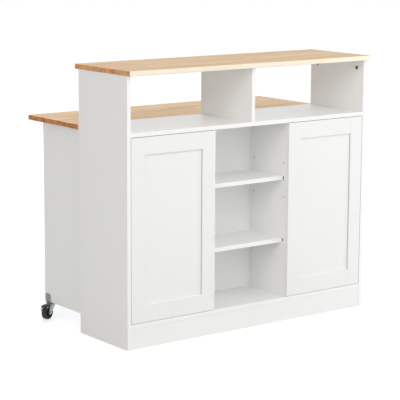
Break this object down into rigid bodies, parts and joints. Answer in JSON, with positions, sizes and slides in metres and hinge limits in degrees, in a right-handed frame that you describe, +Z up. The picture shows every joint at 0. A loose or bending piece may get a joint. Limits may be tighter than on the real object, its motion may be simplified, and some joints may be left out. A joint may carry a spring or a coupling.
{
  "type": "sideboard",
  "caption": "Two-level sideboard with a high shelf top, two frame-and-panel doors round an open niche, and a drop leaf held up behind by swing-out gates on braked castors.",
  "frame": {"origin": "on the floor, under the centre of the whole unit's box with its leaf up", "axes": "+Z up, +X along the length to the right of someone facing the doors, +Y from the doors towards the leaf"},
  "size_m": [1.1506, 0.66, 0.97],
  "materials": {
    "white_board": "satin white coating on board",
    "worktop_wood": "matt clear coat on pale edge-glued hardwood",
    "zinc_steel": "bright zinc plate on pressed steel",
    "cam_zinc": "dull dark zinc casting",
    "black_plastic": "moulded satin black",
    "tyre_rubber": "smooth black tread",
    "pale_plastic": "moulded satin white"
  },
  "bodies": {
    "carcass": {"back_panel": "white_board", "bottom_board": "white_board", "cam_locks": "cam_zinc", "door_hinge_arms": "zinc_steel", "front_plinth": "white_board", "gate_hinge_side_plates": "zinc_steel", "hinge_pins": "zinc_steel", "leaf_hinge_shelf_plates": "zinc_steel", "left_cupboard_shelf": "white_board", "left_niche_divider": "white_board", "left_side_panel": "white_board", "lower_niche_shelf": "white_board", "mid_shelf": "white_board", "push_latch_bodies": "pale_plastic", "rear_plinth": "white_board", "right_cupboard_shelf": "white_board", "right_niche_divider": "white_board", "right_side_panel": "white_board", "shelf_pins": "zinc_steel", "top_board": "worktop_wood", "upper_divider": "white_board", "upper_niche_shelf": "white_board"},
    "left_door": {"left_door_hinge_stile": "white_board", "left_door_free_stile": "white_board", "left_door_top_rail": "white_board", "left_door_bottom_rail": "white_board", "left_door_panel": "white_board", "left_hinge_cups": "zinc_steel"},
    "left_plunger": {"left_latch_plunger": "pale_plastic"},
    "left_gate": {"left_gate_panel": "white_board", "left_gate_hinge_plates": "zinc_steel", "left_gate_support_pads": "pale_plastic", "left_castor_bracket": "zinc_steel"},
    "left_fork": {"left_castor_fork": "zinc_steel", "left_castor_axle": "zinc_steel"},
    "left_wheel": {"left_castor_wheel_core": "black_plastic", "left_castor_tyre": "tyre_rubber"},
    "left_brake": {"left_brake_pedal": "black_plastic"},
    "right_door": {"right_door_hinge_stile": "white_board", "right_door_free_stile": "white_board", "right_door_top_rail": "white_board", "right_door_bottom_rail": "white_board", "right_door_panel": "white_board", "right_hinge_cups": "zinc_steel"},
    "right_plunger": {"right_latch_plunger": "pale_plastic"},
    "right_gate": {"right_gate_panel": "white_board", "right_gate_hinge_plates": "zinc_steel", "right_gate_support_pads": "pale_plastic", "right_castor_bracket": "zinc_steel"},
    "right_fork": {"right_castor_fork": "zinc_steel", "right_castor_axle": "zinc_steel"},
    "right_wheel": {"right_castor_wheel_core": "black_plastic", "right_castor_tyre": "tyre_rubber"},
    "right_brake": {"right_brake_pedal": "black_plastic"},
    "leaf": {"drop_leaf": "worktop_wood", "leaf_hinge_leaf_plates": "zinc_steel"}
  },
  "joints": [
    {"name": "left_door_hinge", "type": "hinge", "parent": "carcass", "child": "left_door", "pos_m": [-0.531, -0.31, 0.416], "axis": [0, 0, -1], "range_deg": [0, 95]},
    {"name": "left_plunger_press", "type": "slide", "parent": "carcass", "child": "left_plunger", "axis": [0, 1, 0], "range_m": [0, 0.002], "stiffness_N_per_m": 300},
    {"name": "left_gate_swing", "type": "hinge", "parent": "carcass", "child": "left_gate", "pos_m": [-0.5292, -0.0135, 0.4], "axis": [0, 0, -1], "range_deg": [0, 90]},
    {"name": "left_castor_swivel", "type": "hinge", "parent": "left_gate", "child": "left_fork", "pos_m": [-0.5225, 0.237, 0.058], "axis": [0, 0, 1], "continuous": true},
    {"name": "left_wheel_spin", "type": "hinge", "parent": "left_fork", "child": "left_wheel", "pos_m": [-0.53992, 0.22942, 0.025], "axis": [-0.3987, 0.9171, 0], "continuous": true},
    {"name": "left_brake_press", "type": "hinge", "parent": "left_fork", "child": "left_brake", "pos_m": [-0.5546, 0.22304, 0.049], "axis": [0.3987, -0.9171, 0], "range_deg": [0, 4]},
    {"name": "right_door_hinge", "type": "hinge", "parent": "carcass", "child": "right_door", "pos_m": [0.531, -0.31, 0.416], "axis": [0, 0, 1], "range_deg": [0, 95]},
    {"name": "right_plunger_press", "type": "slide", "parent": "carcass", "child": "right_plunger", "axis": [0, 1, 0], "range_m": [0, 0.002], "stiffness_N_per_m": 300},
    {"name": "right_gate_swing", "type": "hinge", "parent": "carcass", "child": "right_gate", "pos_m": [0.5292, -0.0135, 0.4], "axis": [0, 0, 1], "range_deg": [0, 90]},
    {"name": "right_castor_swivel", "type": "hinge", "parent": "right_gate", "child": "right_fork", "pos_m": [0.5225, 0.237, 0.058], "axis": [0, 0, 1], "continuous": true},
    {"name": "right_wheel_spin", "type": "hinge", "parent": "right_fork", "child": "right_wheel", "pos_m": [0.53992, 0.22942, 0.025], "axis": [0.3987, 0.9171, 0], "continuous": true},
    {"name": "right_brake_press", "type": "hinge", "parent": "right_fork", "child": "right_brake", "pos_m": [0.5546, 0.22304, 0.049], "axis": [0.3987, 0.9171, 0], "range_deg": [0, 4]},
    {"name": "leaf_lift", "type": "hinge", "parent": "carcass", "child": "leaf", "pos_m": [0, -0.00925, 0.7408], "axis": [1, 0, 0], "range_deg": [0, 3]}
  ]
}
